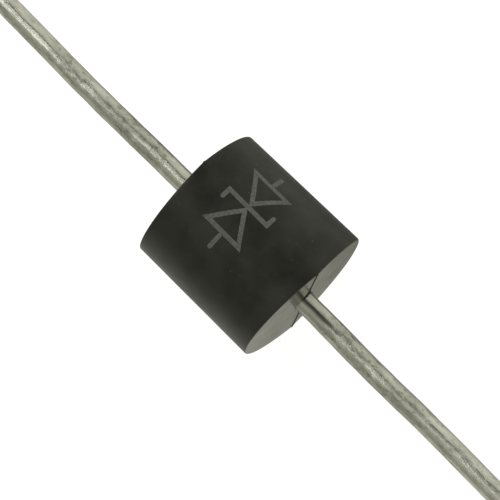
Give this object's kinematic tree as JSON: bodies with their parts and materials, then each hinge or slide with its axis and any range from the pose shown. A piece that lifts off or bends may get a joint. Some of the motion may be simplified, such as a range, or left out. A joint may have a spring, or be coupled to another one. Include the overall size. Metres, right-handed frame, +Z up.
{
  "type": "tvs diode",
  "caption": "Axial surge-suppressor diode: a short black moulded cylinder round a soldered chip, with straight tinned wire leads out of both ends.",
  "frame": {"origin": "centre of the moulded case, midway between the lead tips", "axes": "+X along the leads, towards the tip of lead_2; +Z up, across the leads; the mould's parting plane holds X and is turned 12 degrees from +Z towards +Y"},
  "size_m": [0.0598, 0.009, 0.009],
  "materials": {
    "epoxy_black": "satin moulded epoxy with a faint sheen",
    "tinned_copper": "satin tin plate, patchy, with fine marks along the wire",
    "laser_mark": "grainy laser-lightened epoxy",
    "silicon": "polished silicon",
    "solder": "dull solder",
    "silicone": "cured white silicone"
  },
  "bodies": {
    "root": {"moulded_case": "epoxy_black", "lead_1": "tinned_copper", "lead_2": "tinned_copper", "silicon_die": "silicon", "solder_joint_1": "solder", "solder_joint_2": "solder", "junction_coating": "silicone"}
  },
  "joints": []
}
